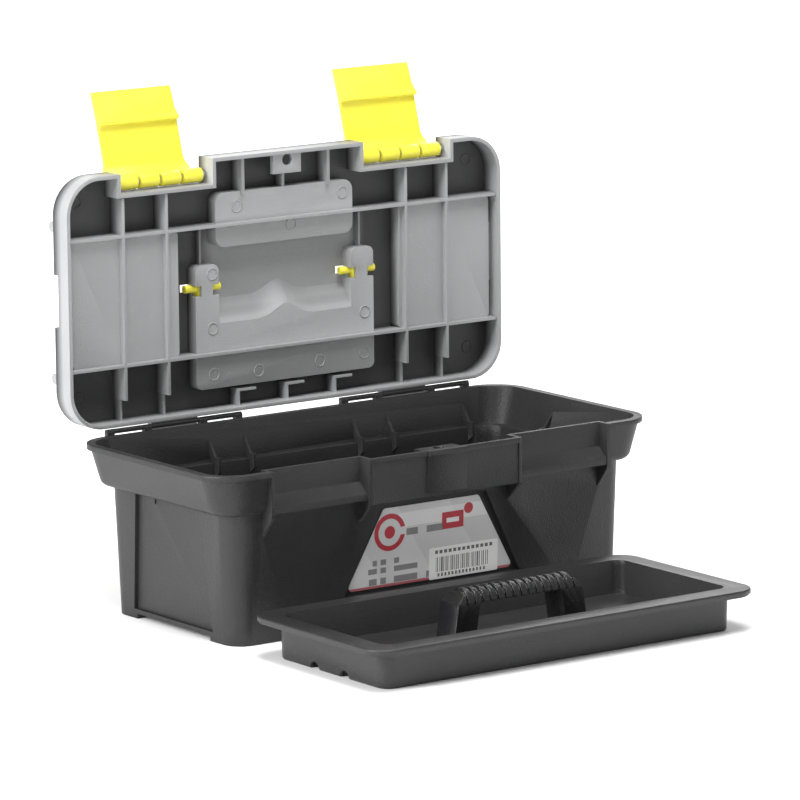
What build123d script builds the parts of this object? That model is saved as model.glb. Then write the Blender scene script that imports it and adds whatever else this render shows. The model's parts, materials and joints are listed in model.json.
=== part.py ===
from build123d import *
import os
from math import cos, radians, sin, tan

os.makedirs("parts", exist_ok=True)

# A small moulded tool box. X runs along its length, -Y is the latch side, +Z is up.
# The origin is the centre of the bottom. The lid, the latches and the carry handle are
# modelled shut and then turned to where they rest: lid open, latches swung up.

# ---- overall sizes, millimetres and degrees ----
box_length = 250.0
box_depth = 122.0
closed_height = 99.0
lid_height = 18.0
rim_corner = 18.0
wall = 2.0
lid_open_angle = 90.0
latch_open_angle = 106.0

# ---- base ----
rim_top = closed_height - lid_height
rim_thickness = 2.4
rim_overhang = 1.8
band_foot = rim_top - 20.0
band_end_inset = 7.0
band_side_inset = 5.0
band_round = 4.0
body_corner = 10.0
body_end_inset = 14.5
body_side_inset = 10.5
body_draft = 2.3
foot_height = 2.3
foot_gap_end = 60.0
foot_gap_side = 160.0
foot_notch = 13.0
end_panel_depth = 2.0
end_panel_top = 26.4
end_panel_bottom = 32.4
label_panel_depth = 2.5
label_panel_top = 30.0
label_panel_bottom = 50.5
label_panel_low = 15.5
label_panel_high = rim_top - 25.0

# ---- latch bays along the front: centre section, bay, cheek plates ----
centre_half = 43.4
bay_width = 51.5
cheek = 1.8
centre_bulge = 2.0
centre_low = rim_top - 21.5
cheek_low = rim_top - 32.0
bay_wall_depth = 6.5
ledge_top = rim_top - 11.5
ledge_edge = rim_top - 16.5
ledge_low = rim_top - 19.5
ledge_reach = 6.0
lock_hole_radius = 2.8
lock_hole_setback = 4.5
lock_lug_half = 11.0
lock_lug_proud = 1.5

# ---- tray seat ribs inside the base ----
seat_height = rim_top - 15.0
seat_rib = 1.4
seat_reach = 47.0
seat_rib_places = (-51.5, -31.5, 31.5, 51.5, 97.0)
end_rib_places = (13.0, -28.0)

# ---- hinge ----
hinge_setback = 1.5
hinge_rise = 1.5
hinge_bar_radius = 1.2
hinge_bar_inner = 28.8
hinge_bar_outer = 105.0
hinge_ear = 4.0
claw_inner = 54.0
claw_width = 25.0
claw_thickness = 1.3
claw_front_end = 205.0
claw_back_end = -18.0
pin_clearance = 0.05

# ---- lid ----
lid_gap = 0.3
lid_wall = 1.8
ridge_height = 4.1
ridge_width = 5.0
ridge_places = (-34.6, 37.0)
lid_back_setback = 0.3
lid_front_setback = 3.0
lid_centre_setback = 0.0
notch_floor = 12.4
well_floor = 4.2
well_inner_left = 61.0
well_inner_right = 66.5
well_end_gap = 4.4
rib_thickness = 1.4
rib_edge = 1.1
long_rib_places = (-28.5, 32.5)
cross_rib_places = (69.0, 93.2)
scoop_length = 25.0
scoop_depth = 5.0
scoop_reach = 4.4

# ---- carry handle and its pocket ----
arm_centre = 44.8
arm_width = 7.6
handle_thickness = 7.0
grip_width = 19.0
grip_setback = 14.5
handle_pivot_y = 1.3
handle_pin_radius = 1.9
handle_pin_reach = 6.2
handle_eye_radius = 2.7
handle_gap = 0.4
pocket_clearance = 2.8
pocket_corner = 3.2
pivot_window = 3.4
finger_gap = 9.0
pocket_wall = 1.6
ramp_run = 11.0
ramp_bulge = 6.0
ramp_straight = 18.0
front_pocket_half = 39.5
front_pocket_low = -43.4
front_pocket_high = -17.6

# ---- latches ----
latch_width = 44.0
latch_flare = 1.5
latch_rod_radius = 1.6
latch_rod_height = 8.0
latch_rod_setback = 8.3
latch_knuckle = 1.85
latch_plate = 2.0
latch_offset = 8.5
latch_hook_gap = 0.4
latch_tab = 16.6
latch_hook_taper = 5.7
latch_slots = 3
latch_slot_width = 1.6
latch_slot_pitch = 12.0

# ---- tray and its grip ----
tray_length = 215.0
tray_depth = 102.0
tray_height = 20.0
tray_corner = 12.0
tray_rim_width = 9.0
tray_rim_height = 3.2
tray_wall = 1.6
tray_draft = 2.0
tray_floor = 4.2
tray_centre = (-8.4, -118.6)
tunnel_radius = 3.6
tunnel_places = (-10.8, 12.0)
grip_length = 72.0
grip_offset = 3.3
grip_height = 25.2
grip_radius = 7.0
grip_bar = 6.5
grip_leg = 13.0
grip_ribs = 15
grip_rib_pitch = 4.32
grip_splay = 4.0

# ---- labels ----
label_thickness = 0.2
label_top = 27.2
label_bottom = 47.8
label_low = 17.0
label_high = label_panel_high - 2.0
sticker_size = (39.5, 15.0)
sticker_centre = (19.0, 24.2)

# ---- places worked out from the sizes above ----
half_length = box_length / 2
half_depth = box_depth / 2
rim_low = rim_top - rim_thickness
lid_mouth = rim_top + lid_gap
lid_top = closed_height - ridge_height
lid_floor = lid_top - lid_wall
bay_half = bay_width / 2
bay_centre = centre_half + bay_half
bay_end = centre_half + bay_width
bay_wall_y = -(half_depth - bay_wall_depth)
centre_front = -(half_depth + centre_bulge)
lock_hole_y = -(half_depth - lock_hole_setback)
hinge_y = half_depth + hinge_setback
hinge_z = rim_top + hinge_rise
lid_back = half_depth - lid_back_setback
lid_front = -(half_depth - lid_front_setback)
lid_centre_front = -(half_depth - lid_centre_setback)
notch_y = -(half_depth - notch_floor)
boss_face = lid_mouth + well_floor
rod_y = -(half_depth - latch_rod_setback)
rod_z = lid_mouth + latch_rod_height
plate_y = rod_y - latch_offset
grip_high_y = half_depth - grip_setback
grip_low_y = grip_high_y - grip_width
handle_low = boss_face + lid_wall + handle_gap
handle_pivot_z = handle_low + handle_eye_radius
pocket_inner = arm_centre - arm_width / 2 - pocket_clearance
pocket_outer = arm_centre + arm_width / 2 + pocket_clearance
pocket_low = grip_low_y - finger_gap
pocket_high = grip_high_y + pocket_clearance
pocket_top = handle_pivot_y - 11.3


def block(x0, x1, y0, y1, z0, z1, mode=Mode.ADD):
    """A box between two corners, added to the part that is being built."""
    with Locations(((x0 + x1) / 2, (y0 + y1) / 2, (z0 + z1) / 2)):
        Box(x1 - x0, y1 - y0, z1 - z0, mode=mode)


def outline_on(plane, points):
    """A closed outline with straight sides, drawn on a plane."""
    with BuildSketch(plane) as outline:
        with BuildLine():
            Polyline(*points, close=True)
        make_face()
    return outline.sketch


def rounded_on(plane, width, depth, radius):
    """A rectangle with round corners, centred on a plane's origin."""
    with BuildSketch(plane) as outline:
        RectangleRounded(width, depth, radius)
    return outline.sketch


def plate_x(points, x0, x1, mode=Mode.ADD):
    """A flat outline in Y and Z, given thickness from x0 to x1."""
    extrude(to_extrude=outline_on(Plane.YZ.offset(x0), points), amount=x1 - x0, mode=mode)


def sloping_panel(plane, top, bottom, low, high, depth, thickness):
    """A trapezoid sunk into a leaning wall, with the wall kept behind it."""
    grow = thickness
    for extra, amount, mode in ((grow, -(depth + thickness), Mode.ADD), (0, -depth, Mode.SUBTRACT),
                                (0, 4.0, Mode.SUBTRACT)):
        corners = [(-bottom - extra, low - extra), (bottom + extra, low - extra),
                   (top + extra, high + extra), (-top - extra, high + extra)]
        extrude(to_extrude=outline_on(plane, corners), amount=amount, mode=mode)


def base_shell():
    """Outer body, flared band and rim flange, hollowed from above."""
    body_height = band_foot + wall
    foot = rounded_on(Plane.XY, 2 * (half_length - body_end_inset), 2 * (half_depth - body_side_inset),
                      body_corner)
    extrude(to_extrude=foot, amount=body_height, taper=-body_draft)
    band_low = rounded_on(Plane.XY.offset(band_foot), 2 * (half_length - band_end_inset),
                          2 * (half_depth - band_side_inset), rim_corner - 5)
    band_high = rounded_on(Plane.XY.offset(rim_low), 2 * (half_length - rim_overhang),
                           2 * (half_depth - rim_overhang), rim_corner - rim_overhang)
    loft(sections=[band_low, band_high])
    low_edges = edges().filter_by_position(Axis.Z, band_foot - 0.01, band_foot + 0.01)
    outer_edges = [edge for edge in low_edges if beyond_body(edge)]
    fillet(outer_edges, radius=band_round)
    rim = rounded_on(Plane.XY.offset(rim_low), box_length, box_depth, rim_corner)
    extrude(to_extrude=rim, amount=rim_thickness)


def beyond_body(edge):
    """True for an edge of the band's foot, which stands out past the body's wall."""
    middle = edge @ 0.5
    grow = band_foot * tan(radians(body_draft)) + 0.5
    past_end = abs(middle.X) > half_length - body_end_inset + grow
    past_side = abs(middle.Y) > half_depth - body_side_inset + grow
    return past_end or past_side or (edge.geom_type != GeomType.LINE and band_corner(middle, grow))


def band_corner(point, grow):
    """True for a point on one of the band's rounded corners."""
    reach_x = half_length - body_end_inset + grow - body_corner
    reach_y = half_depth - body_side_inset + grow - body_corner
    dx = max(abs(point.X) - reach_x, 0)
    dy = max(abs(point.Y) - reach_y, 0)
    return (dx * dx + dy * dy) ** 0.5 > body_corner


def base_hollow():
    """The inside: a drafted well below, a wider mouth above the shoulder."""
    grow = wall * tan(radians(body_draft))
    well = rounded_on(Plane.XY.offset(wall), 2 * (half_length - body_end_inset - wall + grow),
                      2 * (half_depth - body_side_inset - wall + grow), body_corner - wall)
    extrude(to_extrude=well, amount=rim_top - wall, taper=-body_draft, mode=Mode.SUBTRACT)
    mouth_low = rounded_on(Plane.XY.offset(band_foot + wall), 2 * (half_length - band_end_inset - wall),
                           2 * (half_depth - band_side_inset - wall), rim_corner - 5 - wall)
    mouth_high = rounded_on(Plane.XY.offset(rim_top + 0.5), 2 * (half_length - rim_overhang - wall),
                            2 * (half_depth - rim_overhang - wall), rim_corner - rim_overhang - wall)
    loft(sections=[mouth_low, mouth_high], mode=Mode.SUBTRACT)


def base_panels():
    """Sunken trapezoid panels in both ends and in the front."""
    lean = body_draft
    foot_x = half_length - body_end_inset
    foot_y = half_depth - body_side_inset
    for side in (-1, 1):
        out = Vector(side * cos(radians(lean)), 0, -sin(radians(lean)))
        face = Plane(origin=(side * foot_x, 0, 0), x_dir=(0, side, 0), z_dir=out)
        sloping_panel(face, end_panel_top, end_panel_bottom, 4.5, band_foot - 1, end_panel_depth, wall)
    out = Vector(0, -cos(radians(lean)), -sin(radians(lean)))
    face = Plane(origin=(0, -foot_y, 0), x_dir=(1, 0, 0), z_dir=out)
    sloping_panel(face, label_panel_top, label_panel_bottom, label_panel_low, label_panel_high,
                  label_panel_depth, wall)


def foot_notches():
    """Low notches in the four bottom edges, with a step over each inside the floor."""
    foot_x = half_length - body_end_inset
    foot_y = half_depth - body_side_inset
    step_top = foot_height + wall
    for side in (-1, 1):
        low, high = sorted((side * (foot_y - foot_notch - wall), side * (foot_y - 1)))
        block(-foot_gap_side / 2 - wall, foot_gap_side / 2 + wall, low, high, wall / 2, step_top)
        low, high = sorted((side * (foot_x - foot_notch - wall), side * (foot_x - 1)))
        block(low, high, -foot_gap_end / 2 - wall, foot_gap_end / 2 + wall, wall / 2, step_top)
    for side in (-1, 1):
        low, high = sorted((side * (foot_y - foot_notch), side * box_depth))
        block(-foot_gap_side / 2, foot_gap_side / 2, low, high, -1, foot_height, Mode.SUBTRACT)
        low, high = sorted((side * (foot_x - foot_notch), side * box_length))
        block(low, high, -foot_gap_end / 2, foot_gap_end / 2, -1, foot_height, Mode.SUBTRACT)


def latch_bays():
    """The centre section of the front rim and the two bays that the latches close over."""
    inside = bay_wall_y + wall
    block(-centre_half, centre_half, centre_front + 0.8, inside, centre_low, rim_low)
    block(-centre_half, centre_half, centre_front, inside, rim_low, rim_top)
    block(-lock_lug_half, lock_lug_half, centre_front - lock_lug_proud, inside, rim_low, rim_top)
    block(-lock_lug_half, lock_lug_half, centre_front - lock_lug_proud + 1.2, inside, centre_low + 1.5, rim_low)
    pocket = centre_half - cheek
    block(-pocket, pocket, centre_front + wall, inside, centre_low + wall, rim_top + 1, Mode.SUBTRACT)
    for side in (-1, 1):
        low, high = sorted((side * centre_half, side * (bay_end + cheek)))
        block(low, high, -half_depth, inside, band_foot, rim_top)
        low, high = sorted((side * centre_half, side * bay_end))
        block(low, high, -box_depth, bay_wall_y, ledge_low - 4, rim_top + 1, Mode.SUBTRACT)
        ledge = [(inside, ledge_top + 1), (bay_wall_y, ledge_top), (bay_wall_y - ledge_reach + 0.2, ledge_edge),
                 (bay_wall_y - ledge_reach, ledge_low), (inside, ledge_low)]
        plate_x(ledge, low, high)
        hollow = [(inside + 1, ledge_top - 1), (bay_wall_y - ledge_reach + wall, ledge_low + wall),
                  (inside + 1, ledge_low + wall)]
        plate_x(hollow, low + 1, high - 1, Mode.SUBTRACT)
        for x0, front in ((side * centre_half, centre_front), (side * (bay_end + cheek), -half_depth)):
            x1 = x0 - side * cheek
            low, high = sorted((x0, x1))
            back = -(half_depth - body_side_inset)
            gusset = [(inside, rim_top), (front, rim_top), (front + 0.4, centre_low), (back - 2.4, cheek_low + 1.5),
                      (back - 1.6, cheek_low), (back - 1.0, cheek_low), (inside, band_foot)]
            plate_x(gusset, low, high)


def lock_lug():
    """A web across the front pocket with the padlock hole through it."""
    inside = bay_wall_y + wall
    block(-lock_lug_half, lock_lug_half, centre_front, inside, rim_top - 2 * wall, rim_top - 0.6)
    with Locations((0, lock_hole_y, rim_top - wall)):
        Cylinder(lock_hole_radius, 6 * wall, mode=Mode.SUBTRACT)


def seat_ribs():
    """Thin stepped gussets that carry the tray's rim."""
    outer = half_depth - 4.4
    body = half_depth - body_side_inset + 1.0
    back_rib = [(outer, seat_height + 9), (seat_reach + 4, seat_height + 0.8), (seat_reach + 3.6, seat_height),
                (seat_reach, seat_height), (seat_reach, seat_height - 7), (body, seat_height - 10),
                (body, band_foot + 1), (body + 2.4, band_foot + 2), (outer - 2, seat_height)]
    for x in seat_rib_places:
        plate_x(back_rib, x - seat_rib / 2, x + seat_rib / 2)
    end_outer = half_length - 4.9
    end_body = half_length - body_end_inset + 1.0
    end_rib = [(end_outer, seat_height + 9), (end_outer - 6, seat_height + 0.5), (end_outer - 12, seat_height - 1),
               (end_outer - 12, seat_height - 8), (end_body, band_foot - 4), (end_body, band_foot + 1),
               (end_outer - 3, band_foot + 2.2)]
    for side in (-1, 1):
        for y in end_rib_places:
            profile = [(side * x, z) for x, z in end_rib]
            rib = outline_on(Plane.XZ.offset(-y - seat_rib / 2), profile)
            extrude(to_extrude=rib, amount=seat_rib)


def hinge_bars():
    """Two round bars behind the rim, held by ears that reach up from the flange."""
    for side in (-1, 1):
        low, high = sorted((side * hinge_bar_inner, side * hinge_bar_outer))
        with Locations(Location(((low + high) / 2, hinge_y, hinge_z), (0, 90, 0))):
            Cylinder(hinge_bar_radius, high - low)
        claw_low = claw_inner - 1.2
        claw_high = claw_inner + claw_width + 1.2
        ears = (hinge_bar_inner + hinge_ear / 2, claw_low - hinge_ear / 2, claw_high + hinge_ear / 2,
                hinge_bar_outer - hinge_ear / 2)
        for x in ears:
            ear = [(half_depth - 2, rim_low), (hinge_y + hinge_bar_radius, rim_low + 1),
                   (hinge_y + hinge_bar_radius, hinge_z), (hinge_y, hinge_z + hinge_bar_radius),
                   (half_depth + 0.1, hinge_z), (half_depth + 0.1, rim_top - 0.1), (half_depth - 2, rim_top - 0.1)]
            plate_x(ear, side * x - hinge_ear / 2, side * x + hinge_ear / 2)


def make_base():
    with BuildPart() as base:
        base_shell()
        base_hollow()
        base_panels()
        foot_notches()
        latch_bays()
        lock_lug()
        seat_ribs()
        hinge_bars()
    return base.part


def lid_outline(inset, height):
    """The lid's outline seen from above, with the latch notches cut from its front."""
    with BuildSketch(Plane.XY.offset(height)) as outline:
        middle = (lid_back + lid_front) / 2
        depth = lid_back - lid_front
        with Locations((0, middle)):
            RectangleRounded(box_length - 2 * inset, depth - 2 * inset, rim_corner - inset)
        with Locations((0, (lid_centre_front + notch_y) / 2 + inset / 2)):
            Rectangle(2 * (centre_half - inset), notch_y - lid_centre_front - inset)
        for side in (-1, 1):
            with Locations((side * bay_centre, (notch_y - box_depth) / 2 + inset)):
                Rectangle(bay_width + 2 * inset, notch_y + box_depth, mode=Mode.SUBTRACT)
    return outline.sketch


def handle_pocket_outline(inset, height):
    """Outline of the pocket for the folded handle: a U with a bulge for the fingers."""
    outer = pocket_outer - inset
    inner = pocket_inner + inset
    low = pocket_low + inset
    with BuildSketch(Plane.XY.offset(height)) as outline:
        with BuildLine():
            Line((-outer, pocket_high - inset), (outer, pocket_high - inset))
            Line((outer, pocket_high - inset), (outer, pocket_top + inset))
            Line((outer, pocket_top + inset), (inner, pocket_top + inset))
            Line((inner, pocket_top + inset), (inner, low))
            Line((inner, low), (-inner, low))
            Line((-inner, low), (-inner, pocket_top + inset))
            Line((-inner, pocket_top + inset), (-outer, pocket_top + inset))
            Line((-outer, pocket_top + inset), (-outer, pocket_high - inset))
        make_face()
        corners = outline.vertices().group_by(Axis.Y)
        fillet(corners[0] + corners[-1], radius=pocket_corner - 0.6 * inset)
    return outline.sketch


def raised_area(shape):
    """A raised area inside the lid, solid until its recess is cut from above."""
    extrude(to_extrude=shape(0.0, boss_face), amount=lid_floor - boss_face + 0.2)


def recess(shape):
    """The recess in the lid's top that leaves the raised area as a wall of its own."""
    outline = shape(pocket_wall, boss_face + lid_wall)
    extrude(to_extrude=outline, amount=lid_top - boss_face, mode=Mode.SUBTRACT)


def round_area(x0, x1, y0, y1, radius, height):
    """A rectangle with round corners between two corners, at a height."""
    with BuildSketch(Plane.XY.offset(height)) as outline:
        with Locations(((x0 + x1) / 2, (y0 + y1) / 2)):
            RectangleRounded(x1 - x0, y1 - y0, radius)
    return outline.sketch


def left_well_outline(inset, height):
    """Outline of the shallow well on the lid's left wing."""
    return round_area(-(half_length - well_end_gap - inset), -(well_inner_left + inset),
                      long_rib_places[0] + inset, long_rib_places[1] - inset, 3.0, height)


def right_well_outline(inset, height):
    """Outline of the shallow well on the lid's right wing."""
    return round_area(well_inner_right + inset, half_length - well_end_gap - inset,
                      long_rib_places[0] + inset, long_rib_places[1] - inset, 3.0, height)


def front_pocket_outline(inset, height):
    """Outline of the shallow recess in front of the handle."""
    return round_area(-(front_pocket_half - inset), front_pocket_half - inset,
                      front_pocket_low + inset, front_pocket_high - inset, 5.0, height)


def ramp_outline(height, shift, side):
    """Level outline of the finger ramp: straight at its sides, bulging in the middle."""
    back = pocket_low + 3.0
    edge = pocket_low - shift
    with BuildSketch(Plane.XY.offset(height)) as outline:
        with BuildLine():
            Line((-side, back), (side, back))
            Line((side, back), (side, edge))
            Line((side, edge), (ramp_straight, edge))
            Spline((ramp_straight, edge), (0, edge - ramp_bulge), (-ramp_straight, edge),
                   tangents=((-1, 0), (-1, 0)))
            Line((-ramp_straight, edge), (-side, edge))
            Line((-side, edge), (-side, back))
        make_face()
    return outline.sketch


def raised_ramp():
    """The ramp's inner side: it rises from the pocket's floor to the lid's floor."""
    side = pocket_inner + 1.0
    loft(sections=[ramp_outline(boss_face, 0.0, side), ramp_outline(lid_floor + 0.1, ramp_run, side)])


def ramp_recess():
    """The ramp's outer side, one wall above its inner side and open at the top."""
    side = pocket_inner + pocket_wall
    low = boss_face + lid_wall
    past = ramp_run * (lid_top + 0.5 - low) / (lid_floor - boss_face)
    loft(sections=[ramp_outline(low, 0.0, side), ramp_outline(lid_top + 0.5, past, side)],
         mode=Mode.SUBTRACT)


def lid_shell():
    """Tray-like shell of even wall with its top rounded over."""
    outline = lid_outline(0.0, lid_mouth)
    extrude(to_extrude=outline, amount=lid_top - lid_mouth)
    top_edges = faces().sort_by(Axis.Z)[-1].edges()
    fillet(top_edges, radius=2.2)
    cavity = lid_outline(lid_wall, lid_mouth)
    extrude(to_extrude=cavity, amount=lid_floor - lid_mouth, mode=Mode.SUBTRACT)


def lid_ribs():
    """Long ribs over the whole length, cross ribs in the wings and small webs at both edges."""
    edge = lid_mouth + rib_edge
    end = half_length - lid_wall - 1
    half = rib_thickness / 2
    for y in long_rib_places:
        block(-end - 0.5, end + 0.5, y - half, y + half, edge, lid_floor + 0.2)
    for side in (-1, 1):
        for x in cross_rib_places:
            block(side * x - half, side * x + half, notch_y + lid_wall + 0.5, lid_back - 11.7, edge, lid_floor + 0.2)
            block(side * x - 0.6, side * x + 0.6, lid_back - 12.7, lid_back - 1,
                  lid_mouth + 6, lid_floor + 0.2)
        block(side * 46 - 0.5, side * 46 + 0.5, long_rib_places[0], pocket_top + 1, lid_mouth + 8, lid_floor + 0.2)
        block(side * 24.6 - 0.8, side * 24.6 + 0.8, lid_centre_front + 1, front_pocket_low + 1, edge + 1.5,
              lid_floor + 0.2)
    for x in (-28.0, 0.0, 28.0):
        block(x - 0.6, x + 0.6, lid_back - 9.7, lid_back - 1, lid_mouth + 3.8, lid_floor + 0.2)
        block(x - 0.6, x + 10, lid_back - 9.7, lid_back - 8.5, lid_mouth + 3.8, lid_floor + 0.2)


def lid_latch_rods():
    """A round rod across each notch, on which the latch turns."""
    for side in (-1, 1):
        with Locations(Location((side * bay_centre, rod_y, rod_z), (0, 90, 0))):
            Cylinder(latch_rod_radius, bay_width + 1.0)


def lid_lock_tab():
    """The tab with the padlock hole, which lies over the hole in the base."""
    block(-8.0, 8.0, lid_centre_front + 1, -(half_depth - 11), lid_mouth + 1.5, lid_mouth + 4.0)
    block(-0.7, 0.7, -(half_depth - 10), front_pocket_low + 1, lid_mouth + 5, lid_floor + 0.2)
    with Locations((0, lock_hole_y, lid_mouth + 3)):
        Cylinder(lock_hole_radius, 6, mode=Mode.SUBTRACT)


def ridge_profile(x, y):
    """Section of one outer ridge: a slot on end, cut off inside the lid's wall."""
    with BuildSketch(Plane.YZ.offset(x)) as profile:
        with Locations((y, lid_top - 1.0)):
            SlotOverall(2 * (ridge_height + 1.0), ridge_width, rotation=90)
        with Locations((y, lid_top - 10.5)):
            Rectangle(20, 20, mode=Mode.SUBTRACT)
    return profile.sketch


def lid_outside():
    """Low ridges on the wings and a finger scoop over each end."""
    for side in (-1, 1):
        for y in ridge_places:
            x0, x1 = sorted((side * 60.0, side * (half_length - 1.2)))
            extrude(to_extrude=ridge_profile(x0, y), amount=x1 - x0)
        x0, x1 = sorted((side * (half_length - scoop_reach), side * (half_length + 1)))
        block(*sorted((side * (half_length - scoop_reach - lid_wall), side * (half_length - 1))),
              -scoop_length / 2 - lid_wall, scoop_length / 2 + lid_wall, lid_top - scoop_depth - lid_wall, lid_floor)
        block(x0, x1, -scoop_length / 2, scoop_length / 2, lid_top - scoop_depth, lid_top + 1, Mode.SUBTRACT)


def claw_profile(x):
    """Section of a claw: a ring open below, joined to the lid's back wall."""
    inner = hinge_bar_radius + pin_clearance
    outer = inner + claw_thickness
    reach = 2 * outer
    low = (hinge_y + reach * cos(radians(claw_back_end)), hinge_z + reach * sin(radians(claw_back_end)))
    high = (hinge_y + reach * cos(radians(claw_front_end)), hinge_z + reach * sin(radians(claw_front_end)))
    with BuildSketch(Plane.YZ.offset(x)) as profile:
        with Locations((hinge_y, hinge_z)):
            Circle(outer)
        with BuildLine():
            Polyline((lid_back - 1.0, lid_mouth), (lid_back - 1.0, lid_top - 5), (lid_back, lid_top - 6),
                     (hinge_y + 0.4, hinge_z + outer - 0.1), (lid_back, lid_mouth), close=True)
        make_face()
        with Locations((hinge_y, hinge_z)):
            Circle(inner, mode=Mode.SUBTRACT)
        with BuildLine():
            Polyline((hinge_y, hinge_z), low, (hinge_y, hinge_z - 2 * reach), high, close=True)
        make_face(mode=Mode.SUBTRACT)
    return profile.sketch


def lid_claws():
    """C-shaped claws that snap over the hinge bars."""
    for side in (-1, 1):
        x0 = min(side * claw_inner, side * (claw_inner + claw_width))
        extrude(to_extrude=claw_profile(x0), amount=claw_width)


def pivot_slots():
    """Slots in the pocket's side walls, where the handle's pins turn."""
    reach = handle_pin_reach + arm_width / 2
    radius = handle_pin_radius + pin_clearance
    for side in (-1, 1):
        with Locations(Location((side * arm_centre, handle_pivot_y, handle_pivot_z), (0, 90, 0))):
            Cylinder(radius, 2 * (reach + 0.4), mode=Mode.SUBTRACT)
        block(side * arm_centre - reach - 0.4, side * arm_centre + reach + 0.4, handle_pivot_y - radius * 0.94,
              handle_pivot_y + radius * 0.94, handle_pivot_z + radius * 0.34, lid_top + 5, Mode.SUBTRACT)
        for edge, inward in ((pocket_outer, -pivot_window), (pocket_inner, pivot_window)):
            x0, x1 = sorted((side * (edge + inward), side * (edge - 0.1 * inward)))
            block(x0, x1, handle_pivot_y - 1.6, handle_pivot_y + pivot_window, boss_face - 1,
                  handle_pivot_z - 0.6, Mode.SUBTRACT)


lid_recesses = (left_well_outline, right_well_outline, front_pocket_outline, handle_pocket_outline)


def make_lid():
    with BuildPart() as lid:
        lid_shell()
        for shape in lid_recesses:
            raised_area(shape)
        raised_ramp()
        lid_ribs()
        for shape in lid_recesses:
            recess(shape)
        ramp_recess()
        lid_latch_rods()
        lid_lock_tab()
        lid_outside()
        lid_claws()
        pivot_slots()
    return lid.part


def latch_profile(x):
    """Section of a latch: ring, curved shoulder, plate, tapered hook and flared tab."""
    bore = latch_rod_radius + pin_clearance
    outer = bore + latch_knuckle
    hook_top = ledge_low - latch_hook_gap
    tab_low = hook_top - latch_tab
    taper_low = hook_top - latch_hook_taper
    front = plate_y - latch_plate
    hook_in = bay_wall_y - ledge_reach + 1.6
    shoulder_low = rod_z - 8.0
    with BuildSketch(Plane.YZ.offset(x)) as profile:
        with Locations((rod_y, rod_z)):
            Circle(outer)
        with BuildLine():
            ThreePointArc((rod_y, rod_z + outer), (front + 4.0, rod_z - 1.2), (front, shoulder_low))
            Polyline((front, shoulder_low), (front, hook_top - 3), (front - 0.7, tab_low),
                     (plate_y - 1.0, tab_low), (plate_y, taper_low), (hook_in + 0.3, hook_top - 1.2),
                     (hook_in, hook_top), (plate_y, hook_top), (plate_y, shoulder_low))
            ThreePointArc((plate_y, shoulder_low), (plate_y + 3.2, rod_z - 2.8),
                          (rod_y, rod_z + outer - latch_plate))
            Line((rod_y, rod_z + outer - latch_plate), (rod_y, rod_z + outer))
        make_face()
        with Locations((rod_y, rod_z)):
            Circle(bore, mode=Mode.SUBTRACT)
    return profile.sketch


def make_latch(side):
    """One latch: its section along its width, narrowed below the knuckle, slots across it."""
    outer = latch_rod_radius + pin_clearance + latch_knuckle
    half = latch_width / 2
    wide = half + latch_flare
    neck = rod_z - 6.0
    with BuildPart() as latch:
        extrude(to_extrude=latch_profile(side * bay_centre - wide), amount=2 * wide)
        for turn in (-1, 1):
            trim = [(half, -box_depth), (half, neck - 4.0), (wide, neck), (2 * wide, neck), (2 * wide, -box_depth)]
            outline = [(side * bay_centre + turn * x, z) for x, z in trim]
            extrude(to_extrude=outline_on(Plane.XZ, outline), amount=box_depth, mode=Mode.SUBTRACT)
        for index in range(latch_slots):
            x = side * bay_centre + (index - (latch_slots - 1) / 2) * latch_slot_pitch
            block(x - latch_slot_width / 2, x + latch_slot_width / 2, rod_y - 4.2, rod_y + 2 * outer,
                  rod_z - 2 * outer, rod_z + 2 * outer, Mode.SUBTRACT)
    return latch.part


def make_carry_handle():
    """A bail that folds flat: a channel grip, two arms and their pins."""
    low = handle_low
    high = handle_low + handle_thickness
    outer = arm_centre + arm_width / 2
    inner = arm_centre - arm_width / 2
    with BuildPart() as handle:
        block(-outer, outer, grip_low_y, grip_high_y, low, high)
        vertical = edges().filter_by(Axis.Z).sort_by(Axis.Y)[-2:]
        fillet(vertical, radius=8.0)
        for side in (-1, 1):
            x0, x1 = sorted((side * inner, side * outer))
            block(x0, x1, handle_pivot_y, grip_low_y + 2, low, high)
        fillet(edges().group_by(Axis.Z)[-1], radius=1.6)
        block(-inner + 2, inner - 2, grip_low_y + wall, grip_high_y - wall, low - 1, high - 2.2, Mode.SUBTRACT)
        for x in (-24.0, -12.0, 0.0, 12.0, 24.0):
            block(x - 0.7, x + 0.7, grip_low_y + 1, grip_high_y - 1, low, high - 2)
        for side in (-1, 1):
            with Locations(Location((side * arm_centre, handle_pivot_y, handle_pivot_z), (0, 90, 0))):
                Cylinder(handle_eye_radius, arm_width)
                Cylinder(handle_pin_radius, arm_width + 2 * handle_pin_reach)
    return handle.part


def tray_outline(inset, height):
    x, y = tray_centre
    with BuildSketch(Plane.XY.offset(height)) as outline:
        with Locations((x, y)):
            RectangleRounded(tray_length - 2 * inset, tray_depth - 2 * inset, max(tray_corner - 0.6 * inset, 3.0))
    return outline.sketch


def arch_profile(x, y):
    """Section of a half-round tunnel wall under the tray's floor."""
    with BuildSketch(Plane.YZ.offset(x)) as profile:
        with Locations((y, 0)):
            Circle(tunnel_radius + tray_wall)
            Circle(tunnel_radius, mode=Mode.SUBTRACT)
        with Locations((y, -10)):
            Rectangle(20, 20, mode=Mode.SUBTRACT)
    return profile.sketch


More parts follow.
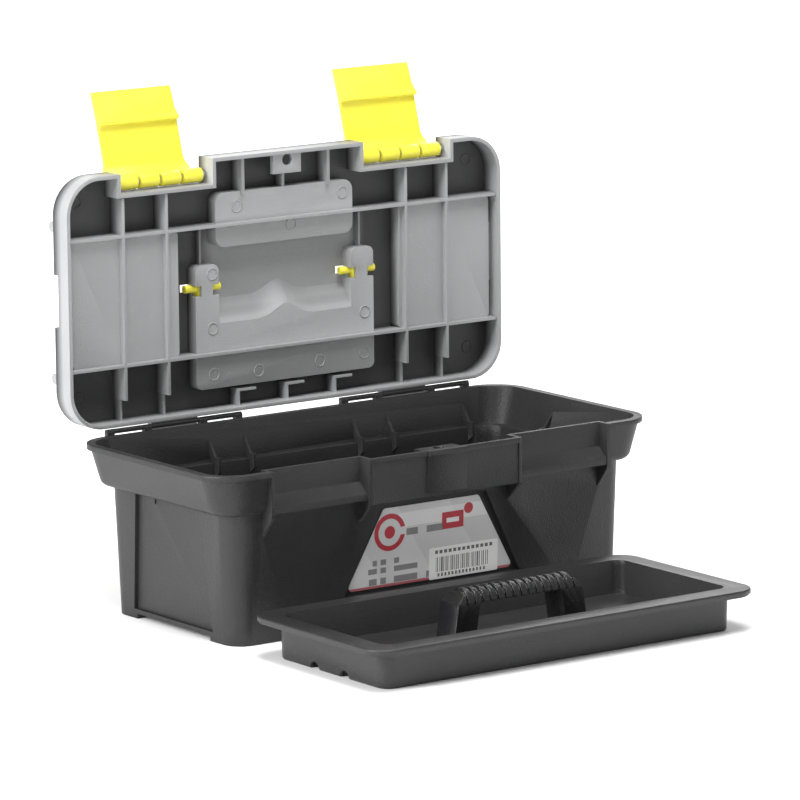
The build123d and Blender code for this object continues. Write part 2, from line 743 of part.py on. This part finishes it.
def make_tray():
    """A shallow drawn tray: broad rim, near upright walls, raised floor on a foot ring."""
    x, y = tray_centre
    rim_under = tray_height - tray_rim_height
    drop = rim_under * tan(radians(tray_draft))
    with BuildPart() as tray:
        extrude(to_extrude=tray_outline(tray_rim_width + drop, 0.0), amount=rim_under + 0.5, taper=-tray_draft)
        fillet(edges().group_by(Axis.Z)[0], radius=1.2)
        extrude(to_extrude=tray_outline(0.8, rim_under), amount=1.1)
        extrude(to_extrude=tray_outline(0.0, rim_under + 0.9), amount=tray_rim_height - 0.9)
        fillet(edges().group_by(Axis.Z)[-1], radius=0.8)
        extrude(to_extrude=tray_outline(tray_wall + 0.6, rim_under - 0.5), amount=tray_rim_height - tray_wall + 0.5,
                mode=Mode.SUBTRACT)
        extrude(to_extrude=tray_outline(tray_rim_width - tray_wall, rim_under - 0.5),
                amount=tray_rim_height - tray_wall + 0.7)
        extrude(to_extrude=tray_outline(tray_rim_width + drop + tray_wall, tray_floor),
                amount=tray_height, taper=-tray_draft, mode=Mode.SUBTRACT)
        floor_low = tray_floor - tray_wall
        extrude(to_extrude=tray_outline(tray_rim_width + drop + tray_wall, -1.0), amount=floor_low + 1.0,
                mode=Mode.SUBTRACT)
        for offset in tunnel_places:
            with Locations(Location((x, y + offset, 0), (0, 90, 0))):
                Cylinder(tunnel_radius, 2 * tray_length, mode=Mode.SUBTRACT)
            arch = arch_profile(x - tray_length / 2 + tray_rim_width + 3, y + offset)
            extrude(to_extrude=arch, amount=tray_length - 2 * tray_rim_width - 6)
        for side in (-1, 1):
            leg = x + grip_offset + side * (grip_length / 2 + grip_splay / 2 - 4.0)
            block(leg - 2.2, leg + 2.2, y - 3.2, y + 3.2, -1, tray_floor + 1, Mode.SUBTRACT)
    return tray.part


def grip_section(x, y, foot, top):
    """Section across the grip: half round above, spreading a little to the feet."""
    shoulder = top - grip_radius
    with BuildSketch(Plane.YZ.offset(x)) as section:
        with BuildLine():
            Polyline((y + grip_radius, shoulder), (y + grip_radius, foot), (y - grip_radius, foot),
                     (y - grip_radius, shoulder))
            RadiusArc((y - grip_radius, shoulder), (y + grip_radius, shoulder), grip_radius)
        make_face()
    return section.sketch


def groove_profile(x, y, top):
    """Half ring cut round the top of the grip between two of its ribs."""
    with BuildSketch(Plane.YZ.offset(x)) as groove:
        with Locations((y, top - grip_radius)):
            Circle(grip_radius + 1)
            Circle(grip_radius - 1.0, mode=Mode.SUBTRACT)
        with Locations((y, top - 2 * grip_radius)):
            Rectangle(4 * grip_radius, 2 * grip_radius, mode=Mode.SUBTRACT)
    return groove.sketch


def make_tray_grip():
    """The ribbed grip: an arch on two splayed legs with prongs through the tray's floor."""
    x, y = tray_centre[0] + grip_offset, tray_centre[1]
    top = tray_floor + grip_height
    foot = tray_floor + 0.05
    half = grip_length / 2
    arch = [(x - half - grip_splay / 2, foot), (x - half + 1, top - 6), (x - half + 7, top),
            (x + half - 7, top), (x + half - 1, top - 6), (x + half + grip_splay / 2, foot),
            (x + half - grip_leg + 3, foot), (x + half - grip_leg, top - grip_bar),
            (x - half + grip_leg, top - grip_bar), (x - half + grip_leg - 3, foot)]
    with BuildPart() as grip:
        extrude(to_extrude=outline_on(Plane.XZ.offset(-y - grip_radius), arch), amount=2 * grip_radius)
        section = grip_section(x - half - grip_splay, y, foot, top)
        extrude(to_extrude=section, amount=2 * (half + grip_splay), mode=Mode.INTERSECT)
        for index in range(grip_ribs):
            place = x + (index - (grip_ribs - 1) / 2) * grip_rib_pitch
            groove = groove_profile(place - 0.7, y, top)
            extrude(to_extrude=groove, amount=1.4, mode=Mode.SUBTRACT)
        for side in (-1, 1):
            leg = grip_length / 2 + grip_splay / 2 - 4.0
            block(x + side * leg - 2.0, x + side * leg + 2.0, y - 3.0, y + 3.0, tray_floor - tray_wall - 1.2, foot + 1)
    return grip.part


def label_plane():
    """The sunken front panel's own plane."""
    lean = radians(body_draft)
    depth = label_panel_depth
    foot_y = half_depth - body_side_inset
    out = Vector(0, -cos(lean), -sin(lean))
    origin = Vector(0, -foot_y, 0) - out * depth
    return Plane(origin=origin, x_dir=(1, 0, 0), z_dir=out)


def make_front_label():
    with BuildSketch(label_plane()) as outline:
        with BuildLine():
            Polyline((-label_bottom, label_low), (label_bottom, label_low), (label_top, label_high),
                     (-label_top, label_high), close=True)
        make_face()
        fillet(outline.vertices(), radius=2.0)
    with BuildPart() as label:
        extrude(to_extrude=outline.sketch, amount=label_thickness)
    return label.part


def make_barcode_label():
    with BuildSketch(label_plane().offset(label_thickness)) as outline:
        with Locations(sticker_centre):
            RectangleRounded(*sticker_size, 0.8)
    with BuildPart() as sticker:
        extrude(to_extrude=outline.sketch, amount=label_thickness)
    return sticker.part


lid_axis = Axis((0, hinge_y, hinge_z), (1, 0, 0))
rod_axis = Axis((0, rod_y, rod_z), (1, 0, 0))

base = make_base()
lid = make_lid().rotate(lid_axis, -lid_open_angle)
carry_handle = make_carry_handle().rotate(lid_axis, -lid_open_angle)
latch_left = make_latch(-1).rotate(rod_axis, -latch_open_angle).rotate(lid_axis, -lid_open_angle)
latch_right = make_latch(1).rotate(rod_axis, -latch_open_angle).rotate(lid_axis, -lid_open_angle)
tray = make_tray()
tray_grip = make_tray_grip()
front_label = make_front_label()
barcode_label = make_barcode_label()

pieces = {"base": base, "lid": lid, "carry_handle": carry_handle, "latch_left": latch_left,
          "latch_right": latch_right, "tray": tray, "tray_grip": tray_grip, "front_label": front_label,
          "barcode_label": barcode_label}
for name, piece in pieces.items():
    piece.label = name
    export_step(piece, f"parts/{name}.step")
    print(name, len(piece.solids()), "solid(s)", round(piece.volume / 1000, 2), "cm3")
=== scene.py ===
# %% [markdown]
# # A small moulded tool box
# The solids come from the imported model, in metres: +X runs along the box, -Y is the latch
# side and +Z is up. This lesson rounds their edges, gives them their plastics and prints, adds
# the thin marks that are easier to make as surfaces than as solids, and lights them as in a
# small studio.

# %% load the solids
import json
import math

import bmesh
import bpy
import numpy as np
from mathutils import Matrix, Vector

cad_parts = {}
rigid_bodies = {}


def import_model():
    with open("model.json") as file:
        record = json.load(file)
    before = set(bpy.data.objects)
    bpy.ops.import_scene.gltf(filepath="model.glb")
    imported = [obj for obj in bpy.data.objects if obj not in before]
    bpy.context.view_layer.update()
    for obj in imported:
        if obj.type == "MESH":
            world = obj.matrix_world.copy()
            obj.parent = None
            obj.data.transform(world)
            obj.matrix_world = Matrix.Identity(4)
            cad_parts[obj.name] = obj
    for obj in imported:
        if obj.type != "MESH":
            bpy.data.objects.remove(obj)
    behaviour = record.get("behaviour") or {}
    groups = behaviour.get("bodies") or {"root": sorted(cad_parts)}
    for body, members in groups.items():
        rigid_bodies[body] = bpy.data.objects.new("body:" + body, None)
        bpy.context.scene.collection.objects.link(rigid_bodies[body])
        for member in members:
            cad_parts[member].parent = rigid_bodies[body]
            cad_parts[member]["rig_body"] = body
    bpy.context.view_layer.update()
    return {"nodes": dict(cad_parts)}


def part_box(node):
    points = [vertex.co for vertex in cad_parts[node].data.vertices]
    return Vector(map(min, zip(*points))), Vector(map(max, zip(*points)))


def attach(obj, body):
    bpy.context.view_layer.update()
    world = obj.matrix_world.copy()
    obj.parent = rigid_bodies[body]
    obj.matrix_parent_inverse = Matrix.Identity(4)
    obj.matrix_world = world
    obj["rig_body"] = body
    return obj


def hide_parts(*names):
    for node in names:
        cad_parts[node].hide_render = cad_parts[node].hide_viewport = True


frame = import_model()
nodes = frame["nodes"]
print("nodes:", sorted(nodes))

# %% [markdown]
# ## Where the prints are
# The two labels are the only solids whose pattern has to line up with their own edges, so their
# places are read from the solids and not typed in again. Lengths typed in millimetres are
# multiplied by MM, because the scene is in metres.

# %% places of the prints
MM = 0.001
label_low, label_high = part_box("front_label")
sticker_low, sticker_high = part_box("barcode_label")
print("label from", tuple(round(c, 4) for c in label_low), "to", tuple(round(c, 4) for c in label_high))

# %% [markdown]
# ## Sums between sockets
# A pattern is a sum over the surface. Wrapping a socket in a small class lets that sum be
# written as it would be on paper, and each operator adds the one Math node that it needs.


# %% a socket that does sums
class Wire:
    """A number socket: + - * / < and > between wires and plain numbers add Math nodes."""

    def __init__(self, finish, socket):
        self.finish = finish
        self.socket = socket

    def _sum(self, operation, first, second):
        node = self.finish.node("ShaderNodeMath", {"operation": operation}, {0: first, 1: second})
        return Wire(self.finish, node.outputs[0])

    def __add__(self, other):
        return self._sum("ADD", self, other)

    def __radd__(self, other):
        return self._sum("ADD", other, self)

    def __sub__(self, other):
        return self._sum("SUBTRACT", self, other)

    def __rsub__(self, other):
        return self._sum("SUBTRACT", other, self)

    def __mul__(self, other):
        return self._sum("MULTIPLY", self, other)

    def __rmul__(self, other):
        return self._sum("MULTIPLY", other, self)

    def __truediv__(self, other):
        return self._sum("DIVIDE", self, other)

    def __rtruediv__(self, other):
        return self._sum("DIVIDE", other, self)

    def __lt__(self, other):
        return self._sum("LESS_THAN", self, other)

    def __gt__(self, other):
        return self._sum("GREATER_THAN", self, other)

    def map(self, operation, other=0.0):
        """One other Math node, such as ABSOLUTE, SINE or MAXIMUM."""
        return self._sum(operation, self, other)


# %% [markdown]
# ## One finish, one material
# A finish owns its node tree. Every node comes from the same method, which takes the kind of
# node, its settings and what goes into its sockets, so each finish below reads as a recipe.


# %% a finish
class Finish:
    """A material with one Principled shader, and the methods that build patterns for it."""

    def __init__(self, name, **constants):
        self.material = bpy.data.materials.new(name)
        self.material.use_nodes = True
        self.tree = self.material.node_tree
        self.shader = self.tree.nodes["Principled BSDF"]
        for socket, value in constants.items():
            self.shader.inputs[socket.replace("_", " ")].default_value = value
        self.place = self.node("ShaderNodeTexCoord", {}, {}).outputs["Object"]

    def node(self, kind, settings, sockets):
        made = self.tree.nodes.new(kind)
        for name, value in settings.items():
            if name == "stops":
                self._stops(made.color_ramp, value)
            else:
                setattr(made, name, value)
        for name, value in sockets.items():
            self.join(value, made.inputs[name])
        return made

    def join(self, value, socket):
        value = value.socket if isinstance(value, Wire) else value
        if isinstance(value, bpy.types.NodeSocket):
            self.tree.links.new(value, socket)
        else:
            socket.default_value = value

    def _stops(self, ramp, stops):
        while len(ramp.elements) < len(stops):
            ramp.elements.new(0.5)
        for element, (position, value) in zip(ramp.elements, stops):
            element.position = position
            element.color = (value, value, value, 1)

    def axis(self, letter):
        """One coordinate of the object's place, in metres."""
        split = self.node("ShaderNodeSeparateXYZ", {}, {0: self.place})
        return Wire(self, split.outputs[letter])

    def noise(self, scale, detail=2.0, roughness=0.5, distortion=0.0):
        """Cloudy noise from 0 to 1; scale is in waves per metre."""
        made = self.node("ShaderNodeTexNoise", {}, {"Vector": self.place, "Scale": scale, "Detail": detail,
                         "Roughness": roughness, "Distortion": distortion})
        return Wire(self, made.outputs[0])

    def cells(self, scale):
        """Distance to the nearest of scattered points: the pits of a grained mould."""
        made = self.node("ShaderNodeTexVoronoi", {}, {"Vector": self.place, "Scale": scale})
        return Wire(self, made.outputs[0])

    def ramp(self, wire, stops):
        made = self.node("ShaderNodeValToRGB", {"stops": stops}, {0: wire})
        return Wire(self, made.outputs[0])

    def blend(self, mask, first, second):
        """first where the mask is 0, second where it is 1; colours or colour sockets."""
        made = self.node("ShaderNodeMix", {"data_type": "RGBA"}, {0: mask, 6: first, 7: second})
        return made.outputs[2]

    def bump(self, height, depth, strength=1.0):
        """Raise the surface by height times depth, in metres."""
        made = self.node("ShaderNodeBump", {}, {"Height": height, "Distance": depth, "Strength": strength})
        self.join(made.outputs[0], self.shader.inputs["Normal"])

    def set(self, **wires):
        for name, value in wires.items():
            self.join(value, self.shader.inputs[name.replace("_", " ")])


def dress(piece, finish):
    """Give a piece its finish, on all of its slots."""
    for place in piece.material_slots:
        place.material = finish.material
    print(piece.name, "wears", finish.material.name)


# %% [markdown]
# ## Moulded edges
# A moulded edge is never sharp: the tool leaves a small radius, and that radius is what catches
# the light along every rib. It could be added to the solids themselves, but on hundreds of rib
# edges that is slow and often fails. Here each moulded solid is shown by a copy of itself. The
# copy's loose triangles are merged, its flat faces are joined, and a Bevel rounds each edge that
# is sharper than a limit.


# %% copies with rounded edges
EDGE_ANGLE = math.radians(32)
FLAT_ANGLE = math.radians(0.2)
MERGE_DISTANCE = 0.002 * MM
EDGE_STEPS = 2


def moulded_copy(node_name, radius, finish):
    """A copy of a solid with its edges rounded to a radius, riding where the solid rides."""
    solid = nodes[node_name]
    shape = bmesh.new()
    shape.from_mesh(solid.data)
    bmesh.ops.remove_doubles(shape, verts=shape.verts, dist=MERGE_DISTANCE)
    bmesh.ops.dissolve_limit(shape, angle_limit=FLAT_ANGLE, verts=shape.verts, edges=shape.edges)
    for face in shape.faces:
        face.smooth = True
        face.material_index = 0
    mesh = bpy.data.meshes.new(node_name + "_moulded")
    shape.to_mesh(mesh)
    shape.free()
    mesh.materials.append(finish.material)
    piece = bpy.data.objects.new(node_name + "_moulded", mesh)
    bpy.context.scene.collection.objects.link(piece)
    rounding = piece.modifiers.new("edge radius", "BEVEL")
    rounding.width = radius
    rounding.segments = EDGE_STEPS
    rounding.limit_method = "ANGLE"
    rounding.angle_limit = EDGE_ANGLE
    rounding.harden_normals = True
    rounding.use_clamp_overlap = True
    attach(piece, solid["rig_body"])
    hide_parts(node_name)
    print(piece.name, len(mesh.polygons), "faces")
    return piece


# %% [markdown]
# ## Grained polypropylene
# A tool box is moulded in a spark-eroded tool, which leaves a fine grain that breaks up the
# gloss. A picture of grain would stretch round the corners, so it is worked out from the place
# in space instead. Cells give the pits, a wide cloud gives the flow marks near the gate, and a
# second cloud with a hard edge gives the pale rub marks of handling.

# %% the pattern of a moulded plastic
PLASTIC_IOR = 1.49
GRAIN_DEPTH = 0.16 * MM


def moulded(name, dark, light, rubbed, rough, grain, gloss):
    """Grained plastic: colour = dark..light by a wide cloud, rubbed where a fine cloud peaks."""
    finish = Finish(name, IOR=PLASTIC_IOR, Specular_IOR_Level=gloss)
    wide = finish.noise(22, 3, 0.6, 0.4)
    speck = finish.noise(1400, 2, 0.7)
    scuff = finish.ramp(finish.noise(90, 6, 0.75, 1.5), [(0.60, 0.0), (0.72, 1.0)])
    body = finish.blend(wide, dark, light)
    speckled = finish.blend((speck - 0.5) * 0.5 + 0.12, body, light)
    finish.set(Base_Color=finish.blend(scuff * 0.22, speckled, rubbed))
    finish.set(Roughness=rough + (wide - 0.5) * 0.12 + scuff * 0.1 + (speck - 0.5) * 0.1)
    finish.bump(finish.cells(grain) * 0.6 + speck * 0.4, GRAIN_DEPTH, 1.0)
    print(name, "has", len(finish.tree.nodes), "nodes")
    return finish


# %% the four grey plastics
def grey(level):
    """A grey with the same share of red, green and blue."""
    return (level, level, level, 1)


base_plastic = moulded("dark_grained_plastic", (0.013, 0.013, 0.0135, 1), (0.026, 0.026, 0.027, 1),
                       grey(0.09), rough=0.46, grain=1100, gloss=0.42)
tray_plastic = moulded("tray_plastic", (0.016, 0.016, 0.0165, 1), (0.028, 0.028, 0.029, 1),
                       grey(0.08), rough=0.38, grain=1400, gloss=0.5)
grip_plastic = moulded("grip_plastic", (0.008, 0.008, 0.009, 1), (0.014, 0.014, 0.015, 1),
                       grey(0.05), rough=0.24, grain=1900, gloss=0.6)
lid_plastic = moulded("lid_plastic", (0.29, 0.293, 0.297, 1), (0.35, 0.353, 0.357, 1),
                      grey(0.50), rough=0.44, grain=1500, gloss=0.5)

# %% [markdown]
# ## Painted shade on the deep floors of the lid
# Between its ribs the lid's floors lie several millimetres back and sit in shade that makes them look
# nearly black. The soft lamps alone don't shade them that much, so painted shade takes the colour
# down with depth: 0 at the rib tops, 1 at the floors. The room for the hand behind the handle stays
# pale, and so does all that lies past the lid's floor, which is its outside.

# %% painted shade, darker with depth
SHALLOW_Y, DEEP_FLOOR_Y, OUTSIDE_Y = 66.8 * MM, 72.2 * MM, 74.2 * MM
HAND_ROOM_CENTRE, HAND_ROOM_HALF = (3 * MM, 151 * MM), (36 * MM, 16 * MM)
# the near-black grey of the painted shade on the deep floors, and how far it covers the lid's own grey
PAINTED_SHADE_GREY, PAINTED_SHADE_SHARE = (0.022, 0.022, 0.023, 1), 0.93
ROOM_REACH, ROOM_FALL, ROOM_SHARE = 1.35, 3, 0.8

depth = ((lid_plastic.axis("Y") - SHALLOW_Y) / (DEEP_FLOOR_Y - SHALLOW_Y)).map("MAXIMUM", 0.0)
outside = lid_plastic.axis("Y") > OUTSIDE_Y
room_x = (lid_plastic.axis("X") - HAND_ROOM_CENTRE[0]).map("ABSOLUTE") / HAND_ROOM_HALF[0]
room_z = (lid_plastic.axis("Z") - HAND_ROOM_CENTRE[1]).map("ABSOLUTE") / HAND_ROOM_HALF[1]
in_room = (ROOM_REACH - room_x.map("MAXIMUM", room_z)) * ROOM_FALL
open_room = in_room.map("MAXIMUM", 0.0).map("MINIMUM", ROOM_SHARE)
depth = depth.map("MINIMUM", 1.0) * (1 - outside) * (1 - open_room)
surface = lid_plastic.shader.inputs["Base Color"].links[0].from_socket
# painted shade: the lid's own grey is blended towards near-black as the floors get deeper
lid_plastic.set(Base_Color=lid_plastic.blend(depth * PAINTED_SHADE_SHARE, surface, PAINTED_SHADE_GREY))
print("the lid darkens over", round((DEEP_FLOOR_Y - SHALLOW_Y) / MM, 1), "mm")

# %% the grey pieces
moulded_copy("base", 0.5 * MM, base_plastic)
moulded_copy("tray", 0.5 * MM, tray_plastic)
moulded_copy("tray_grip", 0.4 * MM, grip_plastic)
moulded_copy("lid", 0.4 * MM, lid_plastic)

# %% [markdown]
# ## Ejector marks
# Round pins push the lid out of its mould and leave thin raised rings on its inner faces. A ring
# could be painted on, but only a raised one catches the light. It is a low section turned about
# an axis that looks out of the open lid, so it is one surface: radius r and height h of the
# section, swept through a full turn. Its foot is sunk a little into the face behind it.

# %% one ring's surface
RING_SECTION = ((2.35, -0.15), (2.45, 0.22), (2.75, 0.30), (3.05, 0.22), (3.15, -0.15))
RING_STEPS = 28


def ring_points(x, y, z):
    """Section points (r, h) turned about the y axis: (x + r cos t, y - h, z + r sin t)."""
    turn = np.linspace(0, 2 * np.pi, RING_STEPS, endpoint=False)
    section = np.array(RING_SECTION) * MM
    r, h = section[:, 0][None, :], section[:, 1][None, :]
    t = turn[:, None]
    return np.stack([x + r * np.cos(t), y - h + 0 * t, z + r * np.sin(t)], axis=-1)


def ring_set(name, centres):
    """All rings of one face as one piece; each is closed both ways, like a bent tube."""
    points, faces = [], []
    for x, y, z in centres:
        grid = ring_points(x, y, z)
        n, m = grid.shape[:2]
        index = np.arange(n * m).reshape(n, m) + len(points)
        after = np.roll(index, -1, axis=0)
        for j in range(m):
            k = (j + 1) % m
            faces += np.stack([index[:, j], index[:, k], after[:, k], after[:, j]], axis=-1).tolist()
        points += grid.reshape(-1, 3).tolist()
    mesh = bpy.data.meshes.new(name)
    mesh.from_pydata(points, [], faces)
    shape = bmesh.new()
    shape.from_mesh(mesh)
    bmesh.ops.recalc_face_normals(shape, faces=shape.faces)
    for face in shape.faces:
        face.smooth = True
    shape.to_mesh(mesh)
    shape.free()
    mesh.materials.append(lid_plastic.material)
    piece = bpy.data.objects.new(name, mesh)
    bpy.context.scene.collection.objects.link(piece)
    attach(piece, "lid")
    print(name, len(centres), "rings")
    return piece


# %% the lid's rings
# Each pair is a place across the lid and a height above the lid's low edge, in millimetres.
RAISED_FACE_Y = 65.5 * MM
DEEP_FACE_Y = 73.1 * MM
LID_LOW_EDGE = 83.4
RAISED_RINGS = ((-27.6, 98), (33.6, 99), (3.8, 86.6), (-42, 67), (-42, 41), (46, 40), (45.5, 20),
                (-16, 18), (19.6, 19), (-41.6, 19))
CORNER_RINGS = ((-112.5, 107), (112.5, 107), (-112.5, 14.5), (112.5, 14.5))
ring_set("boss_rings", [(x * MM, RAISED_FACE_Y, (LID_LOW_EDGE + up) * MM) for x, up in RAISED_RINGS])
ring_set("corner_rings", [(x * MM, DEEP_FACE_Y, (LID_LOW_EDGE + up) * MM) for x, up in CORNER_RINGS])

# %% [markdown]
# ## Yellow polypropylene
# The latches and the handle are pigmented but let some light through, so their colour stays
# bright in thin places. Real transparency would show the rods behind them, so a little
# subsurface light does this instead.

# %% yellow plastic
yellow = Finish("yellow_plastic", IOR=PLASTIC_IOR, Subsurface_Weight=0.2, Subsurface_Scale=0.004)
yellow.shader.inputs["Subsurface Radius"].default_value = (1.0, 0.85, 0.1)
cloud = yellow.noise(60, 4, 0.6, 0.5)
fine = yellow.noise(900, 2, 0.6)
yellow.set(Base_Color=yellow.blend(cloud, (0.80, 0.73, 0.045, 1), (0.86, 0.79, 0.08, 1)),
           Roughness=0.36 + (cloud - 0.5) * 0.15 + (fine - 0.5) * 0.08)
yellow.bump(fine, 0.00004, 0.6)
for name in ("carry_handle", "latch_left", "latch_right"):
    moulded_copy(name, 0.3 * MM, yellow)

# %% [markdown]
# ## A printed label
# The label carries plain shapes only: a ring, a badge and bars that stand for lines of print.
# Each shape is a mask, a number that is 1 inside it and 0 outside, and the inks are laid over
# the paper in order, one blend for each mask.


# %% shapes as masks
def inside_box(x, z, centre, half):
    """1 inside a rectangle: both distances from its centre are under its half sizes."""
    dx = (x - centre[0]).map("ABSOLUTE")
    dz = (z - centre[1]).map("ABSOLUTE")
    return (dx < half[0]) * (dz < half[1])


def inside_circle(x, z, centre, radius):
    """1 inside a circle: the squares of both distances add up to less than the radius squared."""
    dx = x - centre[0]
    dz = z - centre[1]
    return (dx * dx + dz * dz) < radius * radius


# %% the label's inks and places
RED_INK, DARK_INK, FOOT_RED = (0.50, 0.012, 0.03, 1), (0.16, 0.15, 0.15, 1), (0.45, 0.02, 0.04, 1)
RING_PLACE, BADGE_PLACE = (-23.5 * MM, 42.5 * MM), (12.5 * MM, 44.0 * MM)
FOOT_LINE = 1.2 * MM
BARS_OF_PRINT = (((-0.0035, 0.0415), (0.0105, 0.0016)), ((-0.0255, 0.0288), (0.0075, 0.0013)),
                 ((-0.0205, 0.0250), (0.0150, 0.0013)), ((-0.0100, 0.0200), (0.0250, 0.0015)))
print(len(BARS_OF_PRINT), "bars stand for lines of print")

# %% the label's print
print_label = Finish("printed_label", Specular_IOR_Level=0.4)
x = print_label.axis("X")
z = print_label.axis("Z")
paper = print_label.noise(260, 5, 0.7)
sweep = ((x + 0.6 * z) * 34 + 0.55).map("FRACT")
tint = print_label.blend(paper * 0.25 + sweep * 0.35, (0.62, 0.62, 0.62, 1), (0.80, 0.80, 0.80, 1))
pale = inside_box(x + 0.30 * (z - 0.045), z, (0.010, 0.0475), (0.027, 0.0034))
inked = print_label.blend(pale * 0.55, tint, (0.92, 0.92, 0.92, 1))
ring = inside_circle(x, z, RING_PLACE, 8.8 * MM) * (1 - inside_circle(x, z, RING_PLACE, 6.4 * MM))
notch = inside_box(x, z, (-0.0150, 0.0425), (0.0052, 0.0018))
core = inside_circle(x, z, RING_PLACE, 3.0 * MM)
red = (ring * (1 - notch)).map("MAXIMUM", core)
badge = inside_box(x, z, BADGE_PLACE, (0.0062, 0.0040))
stamp = badge.map("MAXIMUM", inside_circle(x, z, (0.0215, 0.0485), 0.0026))
red = red.map("MAXIMUM", stamp)
badge_mark = inside_box(x, z, BADGE_PLACE, (0.0036, 0.0011))
inked = print_label.blend(red * 0.95, inked, RED_INK)
inked = print_label.blend(badge_mark, inked, (0.85, 0.85, 0.85, 1))
words = ((x * 310).map("SINE") + (x * 731 + 2).map("SINE") * 0.6) > -0.55
bars = 0.0
for centre, half in BARS_OF_PRINT:
    bars = inside_box(x, z, centre, half) + bars
inked = print_label.blend(bars * words * 0.8, inked, DARK_INK)
foot = print_label.blend((z < label_low.z + FOOT_LINE) * 0.8, inked, FOOT_RED)
print_label.set(Base_Color=foot, Roughness=0.36 + paper * 0.12)
print_label.bump(paper, 0.00003, 0.5)
dress(nodes["front_label"], print_label)

# %% [markdown]
# ## A sticker with bars
# Bars of uneven width come from two waves of different length: where their sum is above a
# limit there is ink.

# %% the sticker's bars
bar_sticker = Finish("bar_sticker", Specular_IOR_Level=0.4)
x = bar_sticker.axis("X")
z = bar_sticker.axis("Z")
middle = (sticker_low.x + sticker_high.x) / 2
floor_z = sticker_low.z
waves = (x * 5200).map("SINE") + (x * 8300 + 1).map("SINE") * 0.8 + (x * 2100).map("SINE") * 0.5
field = inside_box(x, z, (middle - 0.001, floor_z + 0.0068), (0.0150, 0.0035))
lines = inside_box(x, z, (middle, floor_z + 0.0128), (0.0165, 0.0008))
lines = lines * ((x * 2400).map("SINE") > -0.4)
ticks = inside_box(x, z, (middle - 0.001, floor_z + 0.0019), (0.0140, 0.0008))
ticks = ticks * ((x * 3100).map("SINE") > 0)
fibre = bar_sticker.noise(500, 4, 0.7)
white = bar_sticker.blend(fibre, (0.86, 0.86, 0.85, 1), (0.93, 0.93, 0.92, 1))
ink = (field * (waves > 0.15) + lines + ticks).map("MINIMUM", 1.0)
bar_sticker.set(Base_Color=bar_sticker.blend(ink * 0.88, white, grey(0.05)),
                Roughness=0.42 + fibre * 0.1)
bar_sticker.bump(fibre, 0.00002, 0.4)
dress(nodes["barcode_label"], bar_sticker)


# %% [markdown]
# ## Floor, light and camera
# A wide pale floor and four soft lamps. The strong one stands on the left and brightens the
# faces that look that way, one hangs above, a weak one in front keeps the prints legible, and
# one behind lights only the far floor, so that it stays as white as the near floor. The Standard
# view keeps the white floor white and the yellow bright, where a film-like view would grey them.

# %% floor
FLOOR_HALF = 6.0
FLOOR_STEPS = 3
FLOOR_Z = -0.02 * MM


def floor_sheet(size, steps):
    """A level grid just under z = 0: x and y each run from -size to size."""
    u, v = np.meshgrid(np.linspace(-size, size, steps), np.linspace(-size, size, steps), indexing="ij")
    points = np.stack([u, v, np.full_like(u, FLOOR_Z)], axis=-1).reshape(-1, 3)
    index = np.arange(steps * steps).reshape(steps, steps)
    quads = np.stack([index[:-1, :-1], index[1:, :-1], index[1:, 1:], index[:-1, 1:]], axis=-1)
    mesh = bpy.data.meshes.new("floor")
    mesh.from_pydata(points.tolist(), [], quads.reshape(-1, 4).tolist())
    return mesh


floor = bpy.data.objects.new("floor", floor_sheet(FLOOR_HALF, FLOOR_STEPS))
bpy.context.scene.collection.objects.link(floor)
pale = Finish("pale_floor", Roughness=0.75, Specular_IOR_Level=0.1)
pale.set(Base_Color=pale.blend(pale.noise(3, 2), grey(0.92), grey(0.94)))
floor.data.materials.append(pale.material)
print("floor", 2 * FLOOR_HALF, "m wide")


# %% lamps
def lamp(name, place, target, size, power):
    """A square lamp at a place, turned to face a target."""
    data = bpy.data.lights.new(name, "AREA")
    data.size = size
    data.energy = power
    lit = bpy.data.objects.new(name, data)
    lit.location = place
    lit.rotation_euler = (Vector(target) - Vector(place)).to_track_quat("-Z", "Y").to_euler()
    bpy.context.scene.collection.objects.link(lit)
    print(name, power, "W")


BOX_CENTRE = (0.0, 0.0, 0.08)
ROOM_LIGHT = 0.42
lamp("left_lamp", (-1.8, 0.1, 0.85), BOX_CENTRE, 0.9, 42)
lamp("top_lamp", (-0.2, -0.5, 1.7), BOX_CENTRE, 0.8, 30)
lamp("front_lamp", (-0.9, -2.0, 0.9), BOX_CENTRE, 0.6, 4)
lamp("floor_lamp", (1.6, 2.3, 1.5), (1.7, 2.4, 0.0), 2.4, 90)
world = bpy.data.worlds.new("white_room")
world.use_nodes = True
world.node_tree.nodes["Background"].inputs[0].default_value = (1, 1, 1, 1)
world.node_tree.nodes["Background"].inputs[1].default_value = ROOM_LIGHT
bpy.context.scene.world = world
bpy.context.scene.view_settings.view_transform = "Standard"

# %% [markdown]
# ## Camera
# The camera stands far off with a long lens, which keeps the box's long edges nearly parallel.
# Its turn is written as two angles and a small roll, and made into three axes: ahead along the
# view, right across it and up. A camera looks along its own -Z, so its third axis is -ahead.

# %% camera
AZIMUTH = math.radians(35.87)
ELEVATION = math.radians(10.285)
ROLL = math.radians(-0.57)
STANDS_AT = (-1.5368, -2.1518, 0.5743)
LENS_MM, SENSOR_MM, SEES_AS_FAR_AS = 258.6, 36.0, 20
ahead = Vector((math.sin(AZIMUTH) * math.cos(ELEVATION), math.cos(AZIMUTH) * math.cos(ELEVATION),
                -math.sin(ELEVATION)))
level = Vector((math.cos(AZIMUTH), -math.sin(AZIMUTH), 0))
upward = level.cross(ahead)
right = level * math.cos(ROLL) + upward * math.sin(ROLL)
upward = right.cross(ahead)
camera_data = bpy.data.cameras.new("camera")
camera_data.lens = LENS_MM
camera_data.sensor_width = SENSOR_MM
camera_data.clip_end = SEES_AS_FAR_AS
camera = bpy.data.objects.new("camera", camera_data)
turn = Matrix((right, upward, -ahead)).transposed().to_4x4()
camera.matrix_world = Matrix.Translation(STANDS_AT) @ turn
bpy.context.scene.collection.objects.link(camera)
bpy.context.scene.camera = camera
print("camera at", STANDS_AT)
